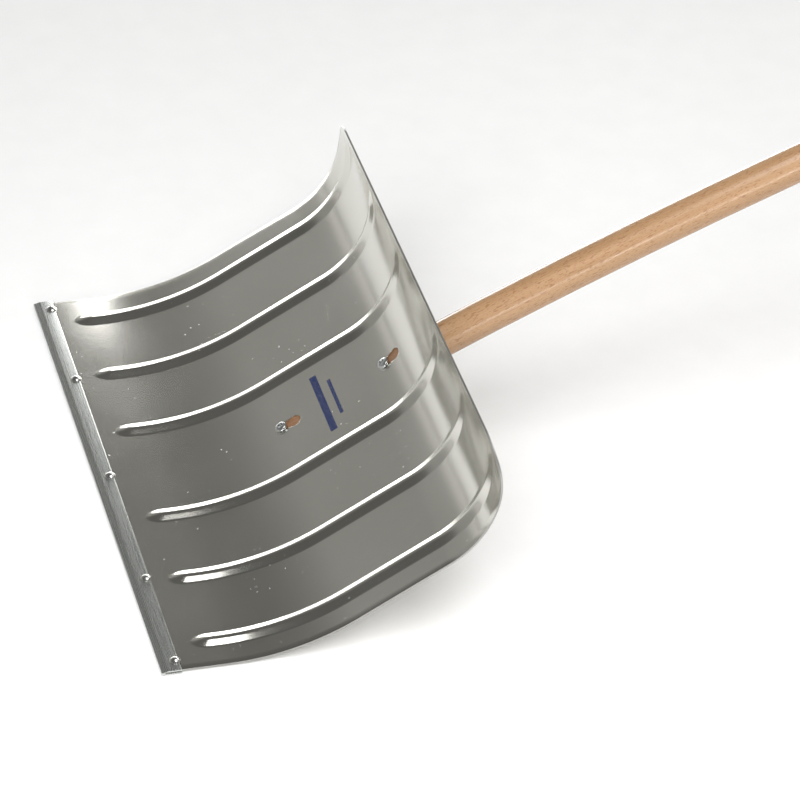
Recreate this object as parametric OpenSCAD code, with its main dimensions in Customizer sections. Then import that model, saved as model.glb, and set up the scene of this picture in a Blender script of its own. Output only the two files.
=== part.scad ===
// Snow shovel: a pressed aluminium blade with a folded steel wear edge, screwed to a bent wooden pole.
// Millimetres. X runs across the blade, the wear edge faces -Y, the pole leaves towards +Y and Z is up.
// The shovel stands as it is pushed: its front flat lies on the ground and the pole rises behind it.
// The origin is on the ground, on the centre line, in the middle of the wear edge's underside.

/* [Blade] */
// Width of the sheet
blade_w = 500; // [440:5:560]
// Thickness of the sheet
sheet_t = 1.5; // [1.2:0.1:2]
// Radius of the two top corners
corner_r = 38; // [20:1:45]

/* [Blade profile, front to back] */
// Flat front, from the origin to the first bend
front_flat = 42; // [36:1:50]
// Radius of the long lower bend, on the scoop side
heel_r = 200; // [190:1:210]
// Angle turned by the lower bend
heel_angle = 30.5; // [29:0.5:32]
// Straight stretch that lies on the pole
seat_l = 78; // [74:1:84]
// Radius of the curl, on the scoop side
curl_r = 76; // [72:1:80]
// Angle turned by the curl
curl_angle = 73; // [68:1:78]
// Straight lip along the top edge
lip_l = 10; // [6:1:14]

/* [Ribs] */
// Distance of the inner pair of ribs from the centre line
rib_1 = 58.5; // [54:0.5:64]
// Distance of the middle pair of ribs from the centre line
rib_2 = 139.5; // [130:0.5:148]
// Distance of the outer pair of ribs from the centre line
rib_3 = 219.5; // [210:0.5:226]
// Height of a rib above the sheet
rib_h = 2.8; // [2:0.1:5]
// Width of a rib where it meets the sheet
rib_w = 18; // [15:0.5:20]
// Where the ribs' rounded front ends have their centres, behind the origin
rib_start = 34; // [31:1:36]
// Angle of the curl left plain between the ribs and the lip
rib_stop = 9; // [8:1:14]

/* [Wear edge] */
// Length of the steel strip
strip_w = 503; // [502:0.5:506]
// Thickness of the folded steel
strip_t = 1; // [0.8:0.1:1.2]
// Distance from the origin to the strip's rear edge
strip_back = 7.9; // [7.5:0.1:9]
// Distance from the origin forward to the tip of the nose
strip_front = 7.6; // [7.2:0.1:8]
// Length of the bevel behind the nose
bevel_l = 5.2; // [4.6:0.1:5.6]
// Radius of the nose
nose_r = 1.2; // [1:0.1:1.4]

/* [Rivets] */
// Distance of the rivet row behind the origin
rivet_y = 5; // [4.6:0.1:5.2]
// Distance of the inner pair of rivets from the centre line
rivet_1 = 136; // [120:1:150]
// Distance of the outer pair of rivets from the centre line
rivet_2 = 239.5; // [230:0.5:242]
// Diameter of a rivet's domed head
rivet_head_d = 9; // [8:0.1:10]
// Height of a rivet's domed head
rivet_head_h = 2.4; // [2:0.1:3]
// Diameter of a rivet's shank
rivet_d = 4; // [3.6:0.1:4.4]

/* [Keyholes and handle screws] */
// Lower screw, measured along the sheet from the end of the lower bend
lower_screw_s = -0.5; // [-4:0.5:6]
// Upper screw, measured along the sheet from the start of the curl
upper_screw_s = 17.5; // [16:0.5:19]
// Distance from a keyhole's slot end to the centre of its round end
keyhole_pitch = 11.5; // [11:0.1:12.5]
// Diameter of a keyhole's round end
keyhole_d = 11.5; // [10.8:0.1:12]
// Width of a keyhole's slot
slot_w = 5.6; // [5:0.1:6]
// Diameter of a screw's pan head
screw_head_d = 10; // [9.5:0.1:10.4]
// Height of a screw's pan head
screw_head_h = 3.4; // [3:0.1:4]
// Diameter of a screw's shank
screw_d = 4.6; // [4.2:0.1:5]
// Length of a screw below its head
screw_l = 11; // [9.5:0.5:11.5]

/* [Handle] */
// Diameter of the pole
pole_d = 29; // [28:0.1:30]
// Radius of the pole's gentle bend, on its centre line
bend_r = 4700; // [4600:10:4800]
// Slope of the pole at its lower end
pole_low_angle = 28.4; // [28:0.1:28.8]
// Slope of the pole's straight upper part
pole_high_angle = 22.6; // [22:0.1:23]
// Length of the straight upper part
pole_straight_l = 821; // [700:1:1000]
// Distance of the pole's lower end behind the origin, on its centre line
pole_y = 121; // [119:0.5:123]
// Height of the pole's lower end, on its centre line
pole_z = 20.5; // [20:0.1:21]
// Rounding of the pole's upper end
pole_end_r = 8; // [4:0.5:12]

/* [Hidden] */
$fn = 96;

// Height of the sheet's scoop side over its flat front: one layer of the fold below it.
sheet_z = strip_t + sheet_t;
// The sheet stops this far behind the nose, inside the fold.
sheet_front = strip_front - 2 * nose_r - 0.7;
fold_gap = 0.3;
// How far a cutting shape passes through what it cuts.
through = 20;
rib_xs = [-rib_3, -rib_2, -rib_1, rib_1, rib_2, rib_3];
rib_r = (rib_h * rib_h + rib_w * rib_w / 4) / (2 * rib_h);
rib_drop = rib_r - rib_h;
// Depth in the sheet at which a rib's section starts, and how far a seam's ball stands out.
rib_root = sheet_t / 2;
seam_cover = 0.02;
rivet_xs = [-rivet_2, -rivet_1, 0, rivet_1, rivet_2];
rivet_play = 0.05;
tail_r = 3.2;
screw_play = 0.1;
seat_gap = 0.3;

// Points of the scoop-side profile as [y, z], and the end of the curl.
heel_end = [front_flat + heel_r * sin(heel_angle), sheet_z + heel_r * (1 - cos(heel_angle))];
seat_end = heel_end + seat_l * [cos(heel_angle), sin(heel_angle)];
curl_centre = seat_end + curl_r * [-sin(heel_angle), cos(heel_angle)];
lip_angle = heel_angle + curl_angle;
curl_end = curl_centre + curl_r * [sin(lip_angle), -cos(lip_angle)];
lip_end = curl_end + lip_l * [cos(lip_angle), sin(lip_angle)];

// Slope of the curl after a length s along it, and the point there.
function curl_slope(s) = heel_angle + s / curl_r * 180 / PI;
function curl_point(s) = curl_centre + curl_r * [sin(curl_slope(s)), -cos(curl_slope(s))];

// The pole's bend is an arc about this point, below and behind the blade.
bend_centre = [pole_y, pole_z] + bend_r * [sin(pole_low_angle), -cos(pole_low_angle)];

// Places its children at p = [y, z], with Y along a sheet of that slope and Z square to it.
module on_slope(p, slope) {
    translate([0, p[0], p[1]]) rotate([slope, 0, 0]) children();
}

// Moves on to the end of a bend that turns up through an angle about a centre r above y = 0.
module after_bend(r, angle) {
    translate([0, 0, r]) rotate([angle, 0, 0]) translate([0, 0, -r]) children();
}

// Each stretch of the sheet starts in its own frame, which grows out of the one before it.
module seat_frame() {
    translate([0, front_flat, sheet_z]) after_bend(heel_r, heel_angle) children();
}
module curl_frame() {
    seat_frame() translate([0, seat_l, 0]) children();
}
module rib_end_frame() {
    curl_frame() after_bend(curl_r, curl_angle - rib_stop) children();
}

// Runs a section straight, from y = 0 to y = l.
module run(l) {
    translate([0, l, 0]) rotate([90, 0, 0]) linear_extrude(l) children();
}

// Bends a section upwards through an angle, starting from y = 0.
module bend(r, angle) {
    translate([0, 0, r])
        rotate([0, 90, 0])
            rotate_extrude(angle = angle, $fn = 360) translate([r, 0]) rotate([0, 0, 90]) children();
}

// Side view of a bend in the sheet: a ring cut to a wedge that laps a little into both neighbours.
module bend_outline(centre, r, first, last) {
    lap = 0.3;
    middle = (first + last) / 2;
    intersection() {
        translate(centre)
            difference() {
                circle(r = r + sheet_t, $fn = 720);
                circle(r = r, $fn = 720);
            }
        polygon([
            centre,
            for (a = [first - lap, middle, last + lap]) centre + 2 * r * [sin(a), -cos(a)],
        ]);
    }
}

// Side view of a straight stretch of the sheet, its scoop side starting at p.
module straight_outline(p, slope, l) {
    translate(p) rotate(slope) translate([0, -sheet_t]) square([l, sheet_t]);
}

module sheet_outline() {
    straight_outline([-sheet_front, sheet_z], 0, sheet_front + front_flat);
    bend_outline([front_flat, sheet_z + heel_r], heel_r, 0, heel_angle);
    straight_outline(heel_end, heel_angle, seat_l);
    bend_outline(curl_centre, curl_r, heel_angle, lip_angle);
    straight_outline(curl_end, lip_angle, lip_l);
}

// Cross-section of the ribs, from the middle of the sheet up: arcs of radius r about points below it.
module rib_sections(r) {
    for (x = rib_xs)
        intersection() {
            translate([x, -rib_drop]) circle(r = r);
            translate([x - r, -rib_root]) square([2 * r, r]);
        }
}
module hollow_sections(r) {
    for (x = rib_xs) translate([x, -rib_drop]) circle(r = r);
}

// Balls that round the ribs' ends and cover the seams between their stretches.
module rib_balls(r) {
    for (x = rib_xs) translate([x, 0, -rib_drop]) sphere(r = r + seam_cover);
}
module raised_balls(r) {
    intersection() {
        rib_balls(r);
        translate([-blade_w / 2, -through, -rib_root]) cube([blade_w, 2 * through, through]);
    }
}

// Every stretch of the ribs follows the sheet.
module ribs(r) {
    translate([0, rib_start, sheet_z]) run(front_flat - rib_start) rib_sections(r);
    translate([0, front_flat, sheet_z]) bend(heel_r, heel_angle) rib_sections(r);
    seat_frame() run(seat_l) rib_sections(r);
    curl_frame() bend(curl_r, curl_angle - rib_stop) rib_sections(r);
    translate([0, rib_start, sheet_z]) raised_balls(r);
    translate([0, front_flat, sheet_z]) raised_balls(r);
    seat_frame() raised_balls(r);
    curl_frame() raised_balls(r);
    rib_end_frame() raised_balls(r);
}
module rib_hollows(r) {
    translate([0, rib_start, sheet_z]) run(front_flat - rib_start) hollow_sections(r);
    translate([0, front_flat, sheet_z]) bend(heel_r, heel_angle) hollow_sections(r);
    seat_frame() run(seat_l) hollow_sections(r);
    curl_frame() bend(curl_r, curl_angle - rib_stop) hollow_sections(r);
    translate([0, rib_start, sheet_z]) rib_balls(r);
    translate([0, front_flat, sheet_z]) rib_balls(r);
    seat_frame() rib_balls(r);
    curl_frame() rib_balls(r);
    rib_end_frame() rib_balls(r);
}

// A keyhole's cut, with its slot end and round end either side of the middle.
module keyhole_cut() {
    translate([0, keyhole_pitch / 2, -through / 2]) cylinder(d = keyhole_d, h = through);
    translate([0, -keyhole_pitch / 2, -through / 2]) cylinder(d = slot_w, h = through);
    translate([-slot_w / 2, -keyhole_pitch / 2, -through / 2]) cube([slot_w, keyhole_pitch, through]);
}

// What is cut away outside the rounded top corner on the +X side.
module corner_cut() {
    translate([blade_w / 2 - corner_r, curl_end[0] + through, lip_end[1] - corner_r])
        rotate([90, 0, 0])
            linear_extrude(3 * through)
                difference() {
                    square(corner_r + through);
                    circle(r = corner_r);
                }
}

module blade() {
    color("darkgray")
        difference() {
            union() {
                translate([-blade_w / 2, 0, 0]) rotate([90, 0, 90]) linear_extrude(blade_w) sheet_outline();
                ribs(rib_r);
            }
            rib_hollows(rib_r - sheet_t);
            seat_frame() translate([0, lower_screw_s + keyhole_pitch / 2, 0]) keyhole_cut();
            on_slope(
                curl_point(upper_screw_s + keyhole_pitch / 2),
                curl_slope(upper_screw_s + keyhole_pitch / 2)
            ) keyhole_cut();
            for (x = rivet_xs) translate([x, rivet_y, 0]) cylinder(r = rivet_d / 2 + rivet_play, h = through);
            corner_cut();
            mirror([1, 0, 0]) corner_cut();
        }
}

// Outline of the folded strip, seen from its end: [y, z] of the nose's centre and of the bevel's back.
nose = [-strip_front + nose_r, nose_r];
bevel_back = [nose[0] - nose_r + bevel_l, sheet_z + strip_t];
bevel_run = norm(bevel_back - nose);
bevel_touch = atan2(bevel_back[1] - nose[1], bevel_back[0] - nose[0]) + acos(nose_r / bevel_run);

module strip_outline() {
    difference() {
        union() {
            translate(nose) circle(r = nose_r);
            polygon([
                [nose[0], 0],
                [strip_back, 0],
                [strip_back, bevel_back[1]],
                bevel_back,
                nose + nose_r * [cos(bevel_touch), sin(bevel_touch)],
                nose,
            ]);
        }
        translate([-sheet_front - fold_gap, strip_t]) square([strip_front + strip_back, sheet_t]);
    }
}

module wear_edge() {
    color("slategray")
        difference() {
            translate([-strip_w / 2, 0, 0]) rotate([90, 0, 90]) linear_extrude(strip_w) strip_outline();
            for (x = rivet_xs) translate([x, rivet_y, 0]) {
                translate([0, 0, -1]) cylinder(r = rivet_d / 2 + rivet_play, h = through);
                cylinder(r1 = tail_r + rivet_play, r2 = rivet_d / 2 + rivet_play, h = strip_t);
            }
        }
}

// Part of a ball of radius r that stands h high on z = 0.
module dome(d, h) {
    r = (h * h + d * d / 4) / (2 * h);
    intersection() {
        translate([0, 0, h - r]) sphere(r = r);
        cylinder(d = d + 1, h = h + 1);
    }
}

// A rivet through both layers of the fold, its tail set flush in the underside.
module edge_rivet(i) {
    color("lightgray")
        translate([rivet_xs[i - 1], rivet_y, 0]) {
            translate([0, 0, sheet_z + strip_t]) dome(rivet_head_d, rivet_head_h);
            cylinder(d = rivet_d, h = sheet_z + strip_t);
            cylinder(r1 = tail_r, r2 = rivet_d / 2, h = strip_t);
        }
}

// Moves to a point of the pole's bend, on its centre line, where it has that slope.
module on_pole(slope) {
    translate([0, bend_centre[0], bend_centre[1]]) rotate([slope, 0, 0]) translate([0, 0, bend_r]) children();
}

// The bare pole: a long arc, a ball that covers the seam, and a straight part with a rounded end.
module pole() {
    translate([0, bend_centre[0], bend_centre[1]])
        rotate([0, -90, 0]) rotate([0, 0, -pole_low_angle])
            rotate_extrude(angle = pole_low_angle - pole_high_angle, $fn = 2880)
                translate([bend_r, 0]) circle(d = pole_d);
    on_pole(pole_high_angle) sphere(d = pole_d + 2 * seam_cover);
    on_pole(pole_high_angle)
        rotate([-90, 0, 0])
            rotate_extrude() {
                square([pole_d / 2, pole_straight_l - pole_end_r]);
                square([pole_d / 2 - pole_end_r, pole_straight_l]);
                translate([pole_d / 2 - pole_end_r, pole_straight_l - pole_end_r])
                    intersection() {
                        circle(r = pole_end_r);
                        square(pole_end_r);
                    }
            }
}

// The pole is halved where it lies under the blade: flat on the seat, hollowed to clear the curl.
module handle() {
    color("burlywood")
        difference() {
            pole();
            seat_frame()
                translate([-pole_d, -4 * through, -sheet_t]) cube([2 * pole_d, 4 * through + seat_l, 4 * through]);
            curl_frame() translate([-pole_d, 0, curl_r])
                rotate([0, 90, 0]) cylinder(r = curl_r + sheet_t + seat_gap, h = 2 * pole_d, $fn = 360);
            lower_screw_place() screw_hole();
            upper_screw_place() screw_hole();
        }
}

// Places of the two screws, square to the sheet, with z = 0 just clear of the sheet's scoop side.
module lower_screw_place() {
    seat_frame() translate([0, lower_screw_s, screw_play]) children();
}
module upper_screw_place() {
    on_slope(curl_point(upper_screw_s), curl_slope(upper_screw_s)) translate([0, 0, 2 * screw_play]) children();
}

// Blind hole in the wood, as deep as the screw.
module screw_hole() {
    translate([0, 0, -screw_l]) cylinder(d = screw_d + 2 * screw_play, h = screw_l);
}

// Pan-head wood screw with a cross recess and a tapered point.
module handle_screw() {
    recess_w = 1.2;
    recess_l = 5.4;
    recess_depth = 1.8;
    point_l = 4;
    color("silver") {
        difference() {
            dome(screw_head_d, screw_head_h);
            for (turn = [0, 90])
                rotate([0, 0, turn])
                    translate([-recess_l / 2, -recess_w / 2, screw_head_h - recess_depth])
                        cube([recess_l, recess_w, 2 * recess_depth]);
        }
        translate([0, 0, -screw_l + point_l]) cylinder(d = screw_d, h = screw_l - point_l);
        translate([0, 0, -screw_l + screw_play]) cylinder(d1 = 1, d2 = screw_d, h = point_l - screw_play);
    }
}

module lower_handle_screw() {
    lower_screw_place() handle_screw();
}
module upper_handle_screw() {
    upper_screw_place() handle_screw();
}

blade();
wear_edge();
for (i = [1:5]) edge_rivet(i);
handle();
lower_handle_screw();
upper_handle_screw();
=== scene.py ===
"""Looks of the snow shovel: a satin aluminium blade with pressed ribs, a galvanised wear edge and a beech pole.

Everything is in metres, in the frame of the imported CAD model: X across the blade, the wear edge facing -Y,
the pole leaving towards +Y, Z up. The blade, wear edge, rivets and screws are rebuilt as smooth meshes on the
same dimensions as their CAD nodes; the pole is its CAD node with a wood material.
"""

import math

import bmesh
import bpy
from mathutils import Matrix, Vector


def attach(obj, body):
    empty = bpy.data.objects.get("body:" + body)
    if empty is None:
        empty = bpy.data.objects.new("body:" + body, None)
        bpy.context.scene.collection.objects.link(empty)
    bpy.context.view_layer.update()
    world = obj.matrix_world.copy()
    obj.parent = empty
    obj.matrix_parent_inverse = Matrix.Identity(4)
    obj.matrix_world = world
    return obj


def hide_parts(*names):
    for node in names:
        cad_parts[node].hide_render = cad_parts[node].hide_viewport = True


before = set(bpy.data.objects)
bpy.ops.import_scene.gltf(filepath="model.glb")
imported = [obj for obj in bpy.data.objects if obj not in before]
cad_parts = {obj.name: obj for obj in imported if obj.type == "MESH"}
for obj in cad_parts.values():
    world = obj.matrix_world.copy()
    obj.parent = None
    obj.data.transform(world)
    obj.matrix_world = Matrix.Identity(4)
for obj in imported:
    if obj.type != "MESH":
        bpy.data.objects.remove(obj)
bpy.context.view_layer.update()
MM = 0.001

# ---------------------------------------------------------------- sizes of the sheet, as in the CAD design

BLADE_W = 500 * MM
SHEET_T = 1.5 * MM
CORNER_R = 38 * MM
SHEET_Z = 2.5 * MM
SHEET_FRONT = 4.5 * MM
FRONT_FLAT = 42 * MM
HEEL_R = 200 * MM
HEEL_ANGLE = math.radians(30.5)
SEAT_L = 78 * MM
CURL_R = 76 * MM
CURL_ANGLE = math.radians(73)
LIP_L = 10 * MM

# Stretches of the sheet from front to back: length, and the radius it bends up on or None where it is straight.
STRETCHES = [
    (SHEET_FRONT + FRONT_FLAT, None),
    (HEEL_R * HEEL_ANGLE, HEEL_R),
    (SEAT_L, None),
    (CURL_R * CURL_ANGLE, CURL_R),
    (LIP_L, None),
]
SEAT_START = STRETCHES[0][0] + STRETCHES[1][0]
CURL_START = SEAT_START + SEAT_L
SHEET_L = sum(length for length, _ in STRETCHES)

RIB_XS = [side * x * MM for x in (58.5, 139.5, 219.5) for side in (-1, 1)]
RIB_H = 2.8 * MM
RIB_HALF = 9 * MM
RIB_CREST = 0.34
RIB_FOOT = 0.22
RIB_START = SHEET_FRONT + 36 * MM
RIB_RAMP = 1.7
RIB_END = CURL_START + CURL_R * (CURL_ANGLE - math.radians(12))
RIB_FADE = 2.2

NOSE_R = 1.2 * MM
NOSE_Y = -6.4 * MM
BEVEL_BACK = -2.4 * MM
STRIP_BACK = 7.9 * MM
STRIP_TOP = 3.5 * MM
STRIP_T = 1 * MM
STRIP_HALF = 251.5 * MM
POLE_SLOPE = math.radians(25.5)
# The pole is cut flat up to here, under the blade, and its wood there is painted darker as shade.
SHADE_UNDER_BLADE_END = 236 * MM

# Printed bars: place along the sheet, length across it and width.
PRINT_BARS = [(SEAT_START + 38 * MM, 74 * MM, 6 * MM), (SEAT_START + 49 * MM, 46 * MM, 3 * MM)]

RIVET_Y = 5 * MM
RIVET_HEAD_D = 9 * MM
RIVET_HEAD_RIM = 0.2 * MM
RIVET_DOME_H = 2.2 * MM
RIVET_HEAD_UNDER_R = 4.35 * MM
RIVET_DOME_D = 8.96 * MM
RIVET_SHANK_R = 2 * MM
RIVET_TAIL_R = 3.2 * MM
RIVET_TAIL_H = 1 * MM
RIVET_HOLE_R = 2.05 * MM
RIVET_XS = [x * MM for x in (-239.5, -136, 0, 136, 239.5)]
SCREW_S = {"lower_handle_screw": SEAT_START - 0.5 * MM, "upper_handle_screw": CURL_START + 17.5 * MM}
SCREW_LIFT = {"lower_handle_screw": 0.1 * MM, "upper_handle_screw": 0.2 * MM}
SCREW_HEAD_R = 5 * MM
SCREW_HEAD_SIDE = 1.1 * MM
SCREW_CROWN = 1.7 * MM
SCREW_LENGTH = 11 * MM
SCREW_PITCH = 1.8 * MM
SCREW_NECK_R = 2 * MM
SCREW_CORE_R = 1.75 * MM
SCREW_CREST_R = 2.3 * MM
RECESS_HALF = (3.1 * MM, 0.6 * MM)
RECESS_TURN = 0.6
KEYHOLE_PITCH = 11.5 * MM
KEYHOLE_ROUND_R = 5.75 * MM
KEYHOLE_SLOT_R = 2.8 * MM
CUT_DEPTH = 6 * MM


def sheet_frame(s):
    """Point on the scoop side at the length s from the sheet's front edge, as (y, z), and the slope there."""
    y, z, slope = -SHEET_FRONT, SHEET_Z, 0.0
    for length, radius in STRETCHES:
        step = min(s, length)
        if radius is None:
            y += step * math.cos(slope)
            z += step * math.sin(slope)
        else:
            turn = step / radius
            y += radius * (math.sin(slope + turn) - math.sin(slope))
            z += radius * (math.cos(slope) - math.cos(slope + turn))
            slope += turn
        s -= step
        if s <= 0:
            break
    return y, z, slope


def rib_height(x, s):
    """How far the scoop side is raised at the point (x, s) of the flat sheet: straight flanks, softly bent."""
    across = min(abs(x - rib) for rib in RIB_XS)
    past = max((RIB_START - s) / RIB_RAMP, (s - RIB_END) / RIB_FADE, 0)
    reach = math.hypot(across, past) / RIB_HALF
    slope = 1 / (1 - RIB_CREST / 2 - RIB_FOOT / 2)
    if reach >= 1:
        return 0.0
    if reach > 1 - RIB_FOOT:
        return RIB_H * slope * (1 - reach) ** 2 / (2 * RIB_FOOT)
    if reach > RIB_CREST:
        return RIB_H * slope * (1 - RIB_FOOT / 2 - reach)
    return RIB_H * (1 - slope * reach**2 / (2 * RIB_CREST))


# ---------------------------------------------------------------- mesh helpers


def new_object(name, bm, material, sharp_deg=35):
    """Turns a bmesh into a smooth-shaded object whose edges are sharp past an angle."""
    bm.normal_update()
    for face in bm.faces:
        face.smooth = True
    for edge in bm.edges:
        edge.smooth = not (len(edge.link_faces) == 2 and edge.calc_face_angle(0) > math.radians(sharp_deg))
    mesh = bpy.data.meshes.new(name)
    bm.to_mesh(mesh)
    bm.free()
    mesh.materials.append(material)
    obj = bpy.data.objects.new(name, mesh)
    bpy.context.scene.collection.objects.link(obj)
    return obj


def apply_modifiers(obj, sharp_deg=35):
    """Makes the object's modifiers part of its mesh and its steep edges sharp."""
    depsgraph = bpy.context.evaluated_depsgraph_get()
    mesh = bpy.data.meshes.new_from_object(obj.evaluated_get(depsgraph))
    obj.modifiers.clear()
    obj.data = mesh
    mesh.set_sharp_from_angle(angle=math.radians(sharp_deg))


def spread(start, stop, step):
    """Even values from start to stop, no further apart than step."""
    count = max(1, math.ceil((stop - start) / step - 1e-9))
    return [start + (stop - start) * i / count for i in range(count + 1)]


def merged(values, apart=1e-6):
    """The values in order, each once."""
    kept = []
    for value in sorted(values):
        if not kept or value - kept[-1] > apart:
            kept.append(value)
    return kept


def lathe(name, profile, material, segments=64):
    """Turns an outline of (radius, height) points about Z. Its first and last points lie on the axis."""
    bm = bmesh.new()
    rings = []
    for radius, height in profile:
        if radius < 1e-9:
            rings.append([bm.verts.new((0, 0, height))])
            continue
        turns = [2 * math.pi * i / segments for i in range(segments)]
        rings.append([bm.verts.new((radius * math.cos(a), radius * math.sin(a), height)) for a in turns])
    for low, high in zip(rings, rings[1:]):
        for i in range(segments):
            corners = [low[i % len(low)], low[(i + 1) % len(low)], high[(i + 1) % len(high)], high[i % len(high)]]
            bm.faces.new(list(dict.fromkeys(corners)))
    bmesh.ops.recalc_face_normals(bm, faces=bm.faces)
    return new_object(name, bm, material)


def finish_piece(obj, slot, *nodes):
    """Says what a finished piece rides on and hides the CAD nodes it stands for; slot, the name of its finish, is
    not used.
    """
    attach(obj, "root")
    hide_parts(*nodes)


# ---------------------------------------------------------------- materials


class Shader:
    """A new material whose nodes are made by short calls."""

    def __init__(self, name, **sockets):
        self.material = bpy.data.materials.new(name)
        self.material.use_nodes = True
        self.tree = self.material.node_tree
        self.bsdf = self.tree.nodes["Principled BSDF"]
        for socket, value in sockets.items():
            self.bsdf.inputs[socket.replace("_", " ")].default_value = value

    def node(self, kind, settings=None, **inputs):
        made = self.tree.nodes.new("ShaderNode" + kind)
        for key, value in (settings or {}).items():
            setattr(made, key, value)
        for key, value in inputs.items():
            self.put(value, made.inputs[key.replace("_", " ")])
        return made

    def put(self, value, socket):
        if isinstance(value, bpy.types.NodeSocket):
            self.tree.links.new(value, socket)
        else:
            socket.default_value = value

    def place(self, scale, turn=None, source="Object"):
        """Coordinates, first turned and then scaled, in metres or in the mesh's own UV metres."""
        where = self.node("TexCoord").outputs[source]
        if turn is not None:
            where = self.node("Mapping", Vector=where, Rotation=turn).outputs["Vector"]
        return self.node("Mapping", Vector=where, Scale=scale).outputs["Vector"]

    def noise(self, where, scale=1.0, detail=3.0, roughness=0.5):
        return self.node("TexNoise", Vector=where, Scale=scale, Detail=detail, Roughness=roughness).outputs["Fac"]

    def ramp(self, value, *stops):
        """Maps a value through (position, colour or grey) stops."""
        made = self.node("ValToRGB", Fac=value)
        points = made.color_ramp.elements
        while len(points) < len(stops):
            points.new(0.5)
        for point, (position, colour) in zip(points, stops):
            point.position = position
            point.color = (*colour, 1) if isinstance(colour, tuple) else (colour, colour, colour, 1)
        return made.outputs["Color"]

    def mix(self, share, a, b):
        made = self.node("Mix", {"data_type": "RGBA"})
        for value, index in ((share, 0), (a, 6), (b, 7)):
            self.put((*value, 1) if isinstance(value, tuple) and len(value) == 3 else value, made.inputs[index])
        return made.outputs[2]

    def math(self, how, a, b=0.0):
        made = self.node("Math", {"operation": how})
        self.put(a, made.inputs[0])
        self.put(b, made.inputs[1])
        return made.outputs[0]

    def remap(self, value, low, high, new_low, new_high):
        made = self.node("MapRange")
        for index, item in enumerate((value, low, high, new_low, new_high)):
            self.put(item, made.inputs[index])
        return made.outputs[0]

    def bump(self, height, distance, strength=1.0, under=None):
        made = self.node("Bump", Height=height, Distance=distance, Strength=strength)
        if under is not None:
            self.put(under, made.inputs["Normal"])
        return made.outputs["Normal"]

    def link(self, **sockets):
        for socket, value in sockets.items():
            self.put(value, self.bsdf.inputs[socket.replace("_", " ")])
        return self.material


def print_bars(shader):
    """Mask of two plain printed bars between the two screws, with slightly worn ink."""
    where = shader.node("SeparateXYZ", Vector=shader.place((1, 1, 1), source="UV"))
    mask = 0.0
    for s, length, width in PRINT_BARS:
        far = shader.math("ABSOLUTE", where.outputs["X"])
        off = shader.math("ABSOLUTE", shader.math("SUBTRACT", where.outputs["Y"], s))
        in_length = shader.math("LESS_THAN", far, length / 2)
        in_width = shader.math("LESS_THAN", off, width / 2)
        inside = shader.math("MULTIPLY", in_length, in_width)
        mask = shader.math("MAXIMUM", inside, mask)
    wear = shader.noise(shader.place((900, 900, 1), source="UV"), detail=2)
    return shader.math("MULTIPLY", mask, shader.remap(wear, 0.3, 0.4, 0.7, 1.0))


def aluminium():
    """Satin rolled sheet: fine lines along the shovel, faint clouding, a few bright nicks and a blue print."""
    shader = Shader("blade_aluminium")
    flat = shader.place((1, 1, 1), source="UV")
    lines = shader.noise(shader.place((2600, 60, 1), source="UV"), detail=4)
    clouds = shader.noise(flat, scale=9, detail=4)
    grit = shader.noise(shader.place((1500, 1500, 1), source="UV"), detail=2)
    nicks = shader.ramp(shader.noise(shader.place((300, 300, 1), source="UV"), detail=1), (0.74, 0.0), (0.77, 1.0))
    patches = shader.ramp(shader.noise(flat, scale=14, detail=1), (0.5, 0.0), (0.6, 1.0))
    nick = shader.math("MULTIPLY", nicks, patches)
    ink = print_bars(shader)
    tint = shader.ramp(clouds, (0.3, (0.70, 0.69, 0.635)), (0.7, (0.75, 0.74, 0.69)))
    tint = shader.mix(shader.remap(lines, 0.3, 0.7, 0.0, 0.2), tint, (0.62, 0.61, 0.56))
    tint = shader.mix(nick, tint, (0.95, 0.95, 0.93))
    tint = shader.mix(ink, tint, (0.006, 0.016, 0.075))
    rough = shader.remap(lines, 0.25, 0.75, 0.14, 0.2)
    rough = shader.math("ADD", rough, shader.remap(clouds, 0.3, 0.7, -0.02, 0.03))
    rough = shader.math("ADD", rough, shader.math("MULTIPLY", ink, 0.25))
    normal = shader.bump(lines, 0.00001, 0.15)
    normal = shader.bump(grit, 0.00001, 0.2, normal)
    normal = shader.bump(nick, 0.0002, 0.8, normal)
    metal = shader.math("SUBTRACT", 1.0, ink)
    return shader.link(Base_Color=tint, Metallic=metal, Roughness=rough, Normal=normal)


def galvanised():
    """Bluish grey strip with fine streaks along its length."""
    shader = Shader("edge_galvanised", Metallic=1.0)
    streaks = shader.noise(shader.place((12, 2200, 2200)), detail=5, roughness=0.6)
    spangle = shader.node("TexVoronoi", Vector=shader.place((1, 1, 1)), Scale=160).outputs["Color"]
    spangle = shader.node("RGBToBW", Color=spangle).outputs[0]
    tint = shader.ramp(streaks, (0.32, (0.57, 0.585, 0.565)), (0.68, (0.68, 0.70, 0.68)))
    tint = shader.mix(shader.remap(spangle, 0, 1, 0, 0.15), tint, (0.82, 0.84, 0.83))
    rough = shader.remap(streaks, 0.3, 0.7, 0.22, 0.33)
    return shader.link(Base_Color=tint, Roughness=rough, Normal=shader.bump(streaks, 0.00002, 0.2))


def bright_metal(name, colour, roughness):
    """Smooth plated metal with faint handling marks."""
    shader = Shader(name, Metallic=1.0)
    marks = shader.noise(shader.place((1, 1, 1)), scale=900, detail=4)
    tint = shader.mix(shader.remap(marks, 0.35, 0.7, 0.0, 0.35), colour, tuple(0.72 * c for c in colour))
    rough = shader.remap(marks, 0.3, 0.7, roughness - 0.05, roughness + 0.08)
    return shader.link(Base_Color=tint, Roughness=rough, Normal=shader.bump(marks, 0.00002, 0.3))


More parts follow.
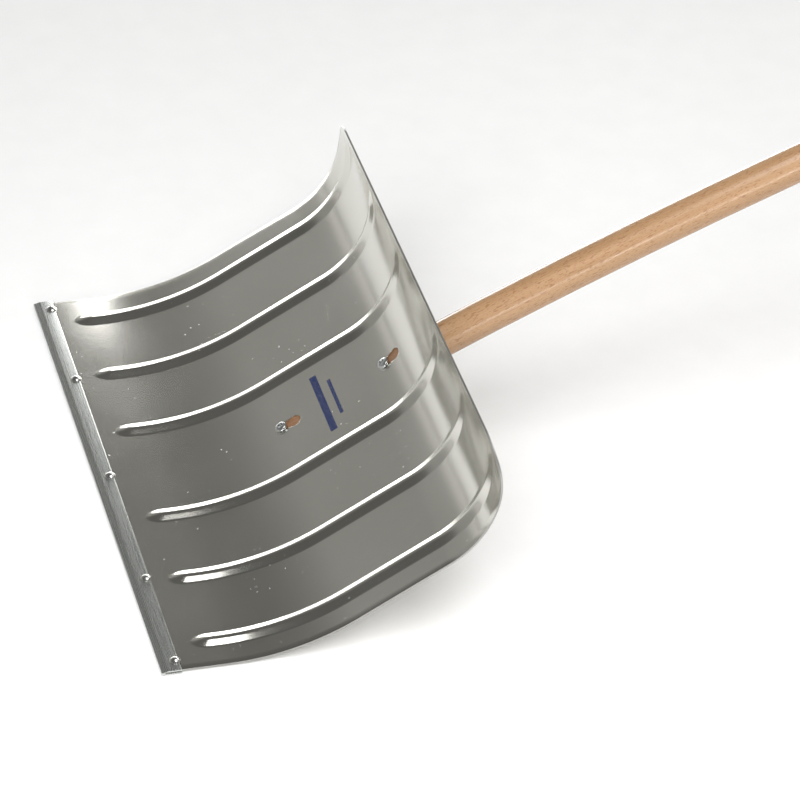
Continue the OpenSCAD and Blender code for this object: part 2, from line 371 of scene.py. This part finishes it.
def beech():
    """Pale pinkish wood: soft long grain and short dark flecks along the pole, and painted shade where it is sawn
    flat under the blade.
    """
    shader = Shader("pole_beech", Specular_IOR_Level=0.5)
    along = (-POLE_SLOPE, 0, 0)
    grain = shader.noise(shader.place((110, 4, 70), along), detail=4, roughness=0.55)
    fibre = shader.noise(shader.place((1500, 30, 1500), along), detail=3)
    fleck = shader.noise(shader.place((900, 210, 900), along), detail=2)
    fleck = shader.ramp(fleck, (0.57, 0.0), (0.66, 1.0))
    pore = shader.noise(shader.place((2400, 420, 2400), along), detail=1)
    pore = shader.ramp(pore, (0.55, 0.0), (0.66, 1.0))
    tint = shader.ramp(grain, (0.34, (0.325, 0.195, 0.10)), (0.66, (0.415, 0.262, 0.145)))
    tint = shader.mix(shader.remap(fibre, 0.3, 0.7, 0.0, 0.5), tint, (0.34, 0.195, 0.105))
    tint = shader.mix(shader.math("MULTIPLY", pore, 0.4), tint, (0.24, 0.12, 0.06))
    tint = shader.mix(shader.math("MULTIPLY", fleck, 0.6), tint, (0.21, 0.10, 0.045))
    # Painted shade: the wood under the blade, seen through the keyholes, is darkened up to the end of the flat
    # cut.
    place = shader.node("SeparateXYZ", Vector=shader.place((1, 1, 1)))
    painted_shade = shader.remap(place.outputs["Y"], SHADE_UNDER_BLADE_END, SHADE_UNDER_BLADE_END + 8 * MM, 0.75, 0.0)
    tint = shader.mix(painted_shade, tint, (0.21, 0.105, 0.055))
    rough = shader.remap(fibre, 0.3, 0.7, 0.2, 0.3)
    normal = shader.bump(fibre, 0.00006, 0.4)
    normal = shader.bump(fleck, 0.00008, -0.3, normal)
    return shader.link(Base_Color=tint, Roughness=rough, Normal=normal)


def pale_floor():
    """Matt studio floor."""
    shader = Shader("floor_pale", Specular_IOR_Level=0.0)
    mottle = shader.noise(shader.place((1, 1, 1)), scale=30, detail=3)
    tint = shader.ramp(mottle, (0.3, 0.86), (0.7, 0.88))
    return shader.link(Base_Color=tint, Roughness=shader.remap(mottle, 0.3, 0.7, 0.75, 0.85))


# ---------------------------------------------------------------- blade


def blade_columns():
    """X of the mesh's columns: close together on the ribs, wide apart between them."""
    half = BLADE_W / 2
    values = spread(-half, half, 6 * MM)
    for rib in RIB_XS:
        values = [x for x in values if abs(x - rib) > RIB_HALF + 2 * MM]
        values += [rib + d for d in spread(-RIB_HALF - 1 * MM, RIB_HALF + 1 * MM, 0.5 * MM)]
    return merged(values)


def blade_rows():
    """Lengths along the sheet of the mesh's rows."""
    ends = [0.0]
    for length, _ in STRETCHES:
        ends.append(ends[-1] + length)
    values = list(ends)
    for (start, stop), (_, radius) in zip(zip(ends, ends[1:]), STRETCHES):
        values += spread(start, stop, 5 * MM if radius is None else radius * math.radians(1.5))
    for low, high in ((RIB_START - RIB_RAMP * RIB_HALF, RIB_START), (RIB_END, RIB_END + RIB_FADE * RIB_HALF)):
        values += spread(low, high, 0.8 * MM)
    corner_steps = [SHEET_L - CORNER_R * (1 - math.sin(math.radians(a))) for a in range(0, 91, 5)]
    return merged(values + corner_steps, 0.2 * MM)


def blade_mesh():
    """The sheet as a closed shell of even thickness, with its ribs and its two rounded top corners."""
    bm = bmesh.new()
    uv = bm.loops.layers.uv.new("UVMap")
    half = BLADE_W / 2
    inner = half - CORNER_R - 5 * MM
    flat_place = {}
    sides = []
    columns = blade_columns()
    for depth in (0.0, SHEET_T):
        grid = []
        for s in blade_rows():
            y, z, slope = sheet_frame(s)
            short = max(0.0, s - (SHEET_L - CORNER_R))
            edge = half - CORNER_R + math.sqrt(max(0.0, CORNER_R**2 - short**2))
            row = []
            for column in columns:
                x = column
                if abs(x) > inner:
                    x = math.copysign(inner + (abs(x) - inner) * (edge - inner) / (half - inner), x)
                lift = rib_height(x, s) - depth
                vert = bm.verts.new((x, y - lift * math.sin(slope), z + lift * math.cos(slope)))
                flat_place[vert] = (x, s)
                row.append(vert)
            grid.append(row)
        sides.append(grid)
    top, bottom = sides
    rows, cols = len(top), len(columns)
    for i in range(rows - 1):
        for j in range(cols - 1):
            bm.faces.new((top[i][j], top[i][j + 1], top[i + 1][j + 1], top[i + 1][j]))
            bm.faces.new((bottom[i][j], bottom[i + 1][j], bottom[i + 1][j + 1], bottom[i][j + 1]))
    rim_top = [top[0][j] for j in range(cols)] + [top[i][-1] for i in range(1, rows)]
    rim_top += [top[-1][j] for j in range(cols - 2, -1, -1)] + [top[i][0] for i in range(rows - 2, 0, -1)]
    rim_bottom = [bottom[0][j] for j in range(cols)] + [bottom[i][-1] for i in range(1, rows)]
    rim_bottom += [bottom[-1][j] for j in range(cols - 2, -1, -1)] + [bottom[i][0] for i in range(rows - 2, 0, -1)]
    for i in range(len(rim_top)):
        k = (i + 1) % len(rim_top)
        bm.faces.new((rim_top[i], rim_bottom[i], rim_bottom[k], rim_top[k])).material_index = 1
    for face in bm.faces:
        for loop in face.loops:
            loop[uv].uv = flat_place[loop.vert]
    return bm


def cutter(name, outline, place, depth, material):
    """A prism on an outline of (x, y) points, standing square to the sheet at a place."""
    bm = bmesh.new()
    low = [bm.verts.new((x, y, -depth)) for x, y in outline]
    high = [bm.verts.new((x, y, depth)) for x, y in outline]
    bm.faces.new(low[::-1])
    bm.faces.new(high)
    for i in range(len(outline)):
        k = (i + 1) % len(outline)
        bm.faces.new((low[i], low[k], high[k], high[i]))
    bm.transform(place)
    return new_object(name, bm, material)


def subtract(obj, tools):
    """Adds a modifier to the object for each tool that is cut out of it."""
    for tool in tools:
        cut = obj.modifiers.new("cut", "BOOLEAN")
        cut.operation = "DIFFERENCE"
        cut.solver = "EXACT"
        cut.object = tool


def remove(tools):
    for tool in tools:
        bpy.data.objects.remove(tool)


def on_sheet(s, lift=0.0):
    """Placement at the length s on the centre line, with Y along the sheet and Z square to it."""
    y, z, slope = sheet_frame(s)
    turn = Matrix.Rotation(slope, 4, "X")
    return Matrix.Translation((0, y, z)) @ turn @ Matrix.Translation((0, 0, lift))


def keyhole_outline():
    """Egg shape: a round end that narrows smoothly into the slot under the screw's head."""
    big, small = KEYHOLE_ROUND_R, KEYHOLE_SLOT_R
    half_pitch = KEYHOLE_PITCH / 2
    lean = math.asin((big - small) / KEYHOLE_PITCH)
    points = []
    for i in range(33):
        angle = -lean + (math.pi + 2 * lean) * i / 32
        points.append((big * math.cos(angle), half_pitch + big * math.sin(angle)))
    for i in range(17):
        angle = math.pi + lean + (math.pi - 2 * lean) * i / 16
        points.append((small * math.cos(angle), -half_pitch + small * math.sin(angle)))
    return points


def circle_outline(radius, count=32):
    turns = [2 * math.pi * i / count for i in range(count)]
    return [(radius * math.cos(turn), radius * math.sin(turn)) for turn in turns]


def make_blade(material, cut_material):
    """The sheet with its two keyholes and five rivet holes, and slightly broken edges."""
    blade = new_object("blade_sheet", blade_mesh(), material, 50)
    blade.data.materials.append(cut_material)
    cutters = []
    for name, s in SCREW_S.items():
        place = on_sheet(s + KEYHOLE_PITCH / 2)
        cutters.append(cutter(name + "_keyhole", keyhole_outline(), place, CUT_DEPTH, material))
    for x in RIVET_XS:
        place = Matrix.Translation((x, RIVET_Y, SHEET_Z))
        cutters.append(cutter("rivet_hole", circle_outline(RIVET_HOLE_R), place, CUT_DEPTH, material))
    subtract(blade, cutters)
    bevel = blade.modifiers.new("edges", "BEVEL")
    bevel.width = 0.25 * MM
    bevel.segments = 2
    bevel.angle_limit = math.radians(60)
    apply_modifiers(blade)
    remove(cutters)
    finish_piece(blade, "blade_sheet", "blade")


# ---------------------------------------------------------------- wear edge


def rounded(corners):
    """A closed outline whose corners, given as (y, z, radius), are rounded."""
    points = []
    for i, (y, z, radius) in enumerate(corners):
        here = Vector((y, z))
        before = (Vector(corners[i - 1][:2]) - here).normalized()
        after = (Vector(corners[(i + 1) % len(corners)][:2]) - here).normalized()
        half = before.angle(after) / 2
        if radius == 0 or half > math.radians(89):
            points.append((y, z))
            continue
        centre = here + (before + after).normalized() * radius / math.sin(half)
        first = here + before * radius / math.tan(half) - centre
        last = here + after * radius / math.tan(half) - centre
        turn = first.angle_signed(last)
        for step in range(7):
            spoke = Matrix.Rotation(-turn * step / 6, 2) @ first
            points.append(tuple(centre + spoke))
    return points


def make_wear_edge(material):
    """The folded strip: a round nose, a bevel and two layers with the sheet between them."""
    slot = STRIP_TOP - STRIP_T
    corners = [
        (STRIP_BACK, 0, 0.25 * MM),
        (NOSE_Y - NOSE_R, 0, NOSE_R),
        (NOSE_Y - NOSE_R, 2.05 * MM, 0.6 * MM),
        (BEVEL_BACK, STRIP_TOP, 1.5 * MM),
        (STRIP_BACK, STRIP_TOP, 0.7 * MM),
        (STRIP_BACK, slot, 0.15 * MM),
        (-SHEET_FRONT - 0.3 * MM, slot, 0),
        (-SHEET_FRONT - 0.3 * MM, STRIP_T, 0),
        (STRIP_BACK, STRIP_T, 0.15 * MM),
    ]
    outline = rounded(corners)
    bm = bmesh.new()
    rings = []
    for x in (-STRIP_HALF, -STRIP_HALF / 2, 0, STRIP_HALF / 2, STRIP_HALF):
        rings.append([bm.verts.new((x, y, z)) for y, z in outline])
    bm.faces.new(rings[0])
    bm.faces.new(rings[-1][::-1])
    for near, far in zip(rings, rings[1:]):
        for i in range(len(outline)):
            k = (i + 1) % len(outline)
            bm.faces.new((near[i], far[i], far[k], near[k]))
    bmesh.ops.recalc_face_normals(bm, faces=bm.faces)
    edge = new_object("wear_edge_strip", bm, material)
    finish_piece(edge, "edge_steel", "wear_edge")


# ---------------------------------------------------------------- fasteners


def dome(diameter, height, base, steps=14):
    """Outline of a dome from its rim up to its top, standing on the height base."""
    radius = (height**2 + diameter**2 / 4) / (2 * height)
    widest = math.asin(diameter / 2 / radius)
    angles = [widest * (1 - i / steps) for i in range(steps + 1)]
    return [(radius * math.sin(a), base + height - radius * (1 - math.cos(a))) for a in angles]


def make_rivets(material):
    """Dome head, rim, shank and a tail set flush in the underside."""
    top = STRIP_TOP
    dome_base = top + RIVET_HEAD_RIM
    profile = [
        (0, 0),
        (RIVET_TAIL_R, 0),
        (RIVET_SHANK_R, RIVET_TAIL_H),
        (RIVET_SHANK_R, top),
        (RIVET_HEAD_UNDER_R, top),
        (RIVET_HEAD_D / 2, dome_base - 0.05 * MM),
    ]
    profile += dome(RIVET_DOME_D, RIVET_DOME_H, dome_base)
    for number, x in enumerate(RIVET_XS, 1):
        rivet = lathe(f"rivet_{number}", profile, material)
        rivet.data.transform(Matrix.Translation((x, RIVET_Y, 0)))
        finish_piece(rivet, "rivet_metal", f"edge_rivet_{number}")


def screw_profile():
    """Outline of a screw from its point up to the middle of its recess; the head sits on Z = 0."""
    profile = [(0, 0.1 * MM - SCREW_LENGTH), (0.3 * MM, 0.5 * MM - SCREW_LENGTH)]
    for i in range(int((SCREW_LENGTH - 2 * MM) / SCREW_PITCH)):
        low = 1 * MM - SCREW_LENGTH + i * SCREW_PITCH
        core = min(SCREW_CORE_R, 0.5 * MM + 0.45 * (i + 1) * MM)
        crest = min(SCREW_CREST_R, core + 0.6 * MM)
        profile += [(core, low), (crest, low + 0.4 * SCREW_PITCH), (core, low + 0.8 * SCREW_PITCH)]
    profile += [(SCREW_NECK_R, -1.5 * MM), (SCREW_NECK_R, 0)]
    profile += [(SCREW_HEAD_R - 0.2 * MM, 0), (SCREW_HEAD_R, 0.2 * MM), (SCREW_HEAD_R, SCREW_HEAD_SIDE)]
    for step in range(1, 9):
        angle = math.radians(step * 9.5)
        radius = SCREW_HEAD_R - SCREW_CROWN * (1 - math.cos(angle))
        profile.append((radius, SCREW_HEAD_SIDE + SCREW_CROWN * math.sin(angle)))
    profile += [(2.4 * MM, 3.05 * MM), (2.0 * MM, 3.0 * MM)]
    return profile + [(1.0 * MM, 1.5 * MM), (0.3 * MM, 1.2 * MM), (0, 1.2 * MM)]


def make_screws(material):
    """Pan-head wood screws with a cross recess, a threaded shank and a point."""
    a, b = RECESS_HALF
    bar = [(-a, -b), (a, -b), (a, b), (-a, b)]
    for name, s in SCREW_S.items():
        screw = lathe(name + "_body", screw_profile(), material, 72)
        tools = []
        for turn in (0, math.pi / 2):
            place = Matrix.Translation((0, 0, 3.4 * MM)) @ Matrix.Rotation(turn + RECESS_TURN, 4, "Z")
            tools.append(cutter("recess", bar, place, 1.7 * MM, material))
        subtract(screw, tools)
        apply_modifiers(screw)
        remove(tools)
        screw.data.transform(on_sheet(s, SCREW_LIFT[name]))
        finish_piece(screw, "screw_zinc", name)


# ---------------------------------------------------------------- studio

# Brightness of the room by the sine of the angle above the horizon.
ROOM_GREYS = [
    (0.0, 0.66),
    (0.08, 0.62),
    (0.17, 0.37),
    (0.3, 0.34),
    (0.48, 0.33),
    (0.57, 0.24),
    (0.63, 0.15),
    (0.8, 0.12),
]


def make_floor(material):
    bm = bmesh.new()
    bmesh.ops.create_grid(bm, x_segments=8, y_segments=8, size=20)
    floor = new_object("floor", bm, material)
    floor.location = (0, 0.5, -0.2 * MM)


def make_camera():
    """A long lens from the near side, in front and above, as the photograph was taken."""
    azimuth, elevation, roll = (math.radians(a) for a in (73.84, 34.88, 2.75))
    distance = 3.65
    target = Vector((0.0209, 0.2331, 0.0590))
    back = Vector((
        math.sin(azimuth) * math.cos(elevation),
        -math.cos(azimuth) * math.cos(elevation),
        math.sin(elevation),
    ))
    right = Vector((0, 0, 1)).cross(back).normalized()
    up = back.cross(right)
    rolled_right = right * math.cos(roll) + up * math.sin(roll)
    rolled_up = up * math.cos(roll) - right * math.sin(roll)
    data = bpy.data.cameras.new("camera")
    data.sensor_width = 36
    data.lens = 208.7
    data.clip_end = 50
    camera = bpy.data.objects.new("camera", data)
    turn = Matrix((rolled_right, rolled_up, back)).transposed().to_4x4()
    camera.matrix_world = Matrix.Translation(target + back * distance) @ turn
    bpy.context.scene.collection.objects.link(camera)
    bpy.context.scene.camera = camera


def area_light(name, place, target, size, watts, colour=(1, 1, 1)):
    data = bpy.data.lights.new(name, "AREA")
    data.shape = "RECTANGLE"
    data.size, data.size_y = size
    data.energy = watts
    data.color = colour
    light = bpy.data.objects.new(name, data)
    direction = Vector(place) - Vector(target)
    light.matrix_world = Matrix.Translation(place) @ direction.to_track_quat("Z", "Y").to_matrix().to_4x4()
    light.visible_camera = False
    bpy.context.scene.collection.objects.link(light)
    return light


def make_world():
    """A dim room: pale low down, a soft grey at half height and dark overhead."""
    world = bpy.data.worlds.new("studio")
    world.use_nodes = True
    tree = world.node_tree
    height = tree.nodes.new("ShaderNodeSeparateXYZ")
    ramp = tree.nodes.new("ShaderNodeValToRGB")
    tree.links.new(tree.nodes.new("ShaderNodeTexCoord").outputs["Generated"], height.inputs[0])
    tree.links.new(height.outputs["Z"], ramp.inputs["Fac"])
    tree.links.new(ramp.outputs["Color"], tree.nodes["Background"].inputs["Color"])
    points = ramp.color_ramp.elements
    while len(points) < len(ROOM_GREYS):
        points.new(0.5)
    for point, (sine, grey) in zip(points, ROOM_GREYS):
        point.position = sine
        point.color = (grey, 0.99 * grey, 0.96 * grey, 1)
    bpy.context.scene.world = world


def make_lights():
    """Soft lights above, behind the camera, low down and at the back, and two white cards beyond the far end.

    The room light gives no reflections, and the cards are seen only in reflections.
    """
    area_light("soft_box", (0.36, 0.42, 1.3), (0.36, 0.42, 0), (0.72, 0.62), 7)
    room = area_light("room_light", (3.6, -1.6, 4.2), (0, 0.3, 0), (5.0, 5.0), 360)
    area_light("low_strip", (2.6, 0.4, 0.5), (0, 0.4, 0.25), (2.6, 0.14), 20)
    area_light("back_fill", (-2.4, 3.2, 2.6), (0, 0.6, 0.2), (2.0, 2.0), 35)
    card = area_light("white_card", (-0.6, 0.6, 0.127), (0, 0.6, 0.127), (1.0, 0.254), 3.8)
    wall = area_light("far_wall", (-2.2, 0.7, 0.2), (0, 0.7, 0.2), (2.8, 0.4), 10)
    room.visible_glossy = False
    card.visible_diffuse = False
    wall.visible_diffuse = False


# ---------------------------------------------------------------- assembly

make_blade(aluminium(), bright_metal("blade_cut_edge", (0.42, 0.415, 0.40), 0.5))
make_rivets(bright_metal("rivet_bright", (0.72, 0.72, 0.70), 0.22))
make_screws(bright_metal("screw_zinc", (0.62, 0.64, 0.64), 0.3))
make_wear_edge(galvanised())
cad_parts["handle"].material_slots[0].material = beech()
make_floor(pale_floor())
make_camera()
make_world()
make_lights()
bpy.context.scene.view_settings.view_transform = "Standard"
